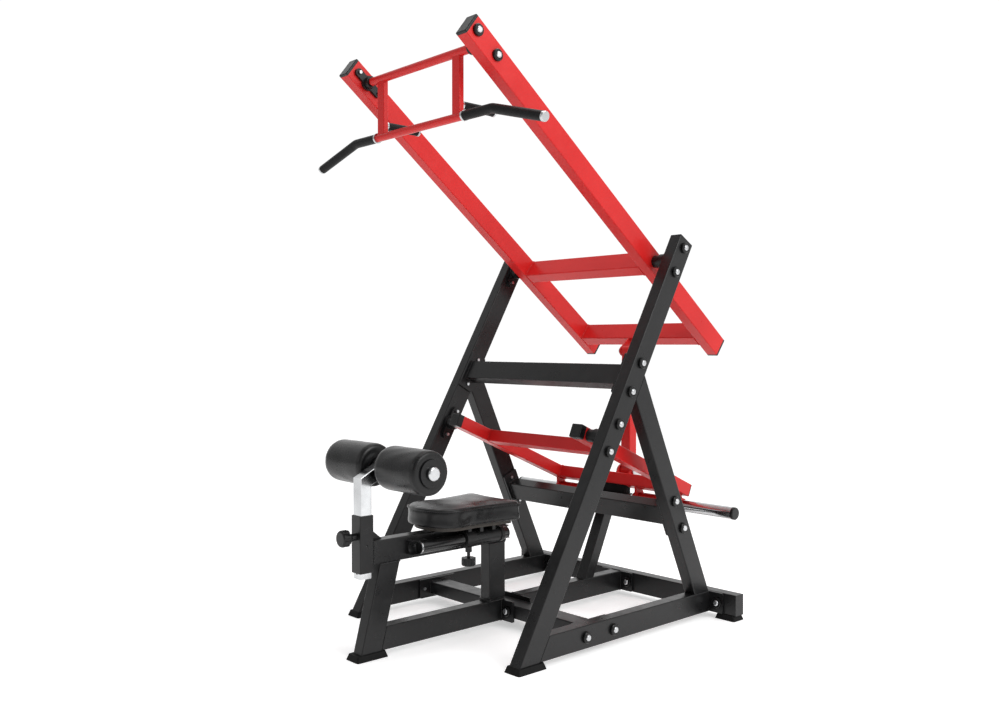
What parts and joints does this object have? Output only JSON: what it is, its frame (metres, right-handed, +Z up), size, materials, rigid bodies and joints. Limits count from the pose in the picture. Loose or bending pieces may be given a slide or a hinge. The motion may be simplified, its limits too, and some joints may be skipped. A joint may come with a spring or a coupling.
{
  "type": "plate-loaded lat pulldown machine",
  "caption": "Plate-loaded lat pulldown machine: A-frame, seat with thigh rollers, swinging pulldown handle, and linked arms that lift the weight horns.",
  "frame": {"origin": "on the floor, under the middle of the machine's outer box", "axes": "+Z up, +X across the machine to the seated person's left, -Y the way the front of the machine faces, where the thigh rollers are"},
  "size_m": [1.2594, 1.6341, 2.1057],
  "materials": {
    "frame_paint": "charcoal black powder coat",
    "arm_paint": "red powder coat",
    "chrome": "polished",
    "bright_steel": "zinc plated",
    "rod_paint": "satin black",
    "housing": "black",
    "black_plastic": "moulded",
    "rubber": "matt",
    "grip_rubber": "matt, ribbed",
    "vinyl": "vinyl over foam",
    "board": "stained black"
  },
  "bodies": {
    "frame": {"front_legs": "frame_paint", "rear_legs": "frame_paint", "side_bases": "frame_paint", "rear_base_beam": "frame_paint", "front_base_beam": "frame_paint", "centre_base_tube": "frame_paint", "seat_base_tube": "frame_paint", "seat_front_leg": "frame_paint", "seat_beam": "frame_paint", "seat_rear_post": "frame_paint", "upper_crossbar": "frame_paint", "rear_crossbar": "frame_paint", "rear_strut": "frame_paint", "stop_bumper": "rubber", "flange_plates": "frame_paint", "leg_bearings": "housing", "frame_bolts": "bright_steel", "frame_washers": "black_plastic", "tube_caps": "black_plastic", "rubber_feet": "rubber", "post_sleeve": "frame_paint", "guide_rods": "rod_paint", "rod_blocks": "frame_paint", "rod_end_rings": "chrome", "rod_end_plugs": "black_plastic"},
    "upper_arm": {"arm_side_tubes": "arm_paint", "arm_cross_tubes": "arm_paint", "arm_end_caps": "black_plastic", "arm_pivot_shafts": "frame_paint", "handle_bearings": "housing", "arm_bolts": "bright_steel", "arm_washers": "black_plastic", "arm_link_lug": "arm_paint"},
    "handle": {"handle_bars": "arm_paint", "handle_side_tubes": "arm_paint", "outer_grips": "grip_rubber", "neutral_grips": "grip_rubber", "grip_collars": "chrome"},
    "link": {"link_tube": "arm_paint", "link_pins": "bright_steel"},
    "weight_arm": {"weight_arm_tubes": "arm_paint", "weight_arm_cross_tubes": "arm_paint", "weight_arm_caps": "black_plastic", "weight_arm_shafts": "frame_paint", "weight_arm_lug": "arm_paint", "horn_carriers": "arm_paint", "weight_horns": "chrome", "horn_caps": "black_plastic"},
    "roller_post": {"roller_post": "chrome", "roller_axle": "bright_steel", "axle_caps": "chrome"},
    "roller_left": {"foam_roller_left": "vinyl", "roller_hub_left": "black_plastic"},
    "roller_right": {"foam_roller_right": "vinyl", "roller_hub_right": "black_plastic"},
    "post_pin": {"post_pull_pin": "black_plastic"},
    "seat": {"seat_cushion": "vinyl", "seat_board": "board", "seat_carriage": "frame_paint"},
    "seat_pin": {"seat_pull_pin": "black_plastic"}
  },
  "joints": [
    {"name": "upper_arm_pivot", "type": "hinge", "parent": "frame", "child": "upper_arm", "pos_m": [0, 0.3635, 1.368], "axis": [1, 0, 0], "range_deg": [0, 30]},
    {"name": "link_pivot", "type": "hinge", "parent": "upper_arm", "child": "link", "pos_m": [0, 0.641, 1.025], "axis": [1, 0, 0], "range_deg": [-42, 0]},
    {"name": "weight_arm_pivot", "type": "hinge", "parent": "frame", "child": "weight_arm", "pos_m": [0, -0.002, 0.729], "axis": [1, 0, 0], "range_deg": [0, 17]},
    {"name": "handle_swing", "type": "hinge", "parent": "upper_arm", "child": "handle", "pos_m": [0, -0.48935, 2.02242], "axis": [1, 0, 0], "range_deg": [-60, 34]},
    {"name": "roller_post_slide", "type": "slide", "parent": "frame", "child": "roller_post", "axis": [0, 0, 1], "range_m": [0, 0.12]},
    {"name": "roller_left_spin", "type": "hinge", "parent": "roller_post", "child": "roller_left", "pos_m": [0, -0.641, 0.64], "axis": [1, 0, 0], "continuous": true},
    {"name": "roller_right_spin", "type": "hinge", "parent": "roller_post", "child": "roller_right", "pos_m": [0, -0.641, 0.64], "axis": [1, 0, 0], "continuous": true},
    {"name": "post_pin_slide", "type": "slide", "parent": "frame", "child": "post_pin", "axis": [0, 1, 0], "range_m": [0, 0.008]},
    {"name": "seat_slide", "type": "slide", "parent": "frame", "child": "seat", "axis": [0, -1, 0], "range_m": [0, 0.12]},
    {"name": "seat_pin_slide", "type": "slide", "parent": "seat", "child": "seat_pin", "axis": [0, 0, 1], "range_m": [0, 0.008]}
  ],
  "couplings": [
    {"joint": "weight_arm_pivot", "follows": "upper_arm_pivot", "ratio": 0.546},
    {"joint": "link_pivot", "follows": "upper_arm_pivot", "ratio": -1.386}
  ]
}
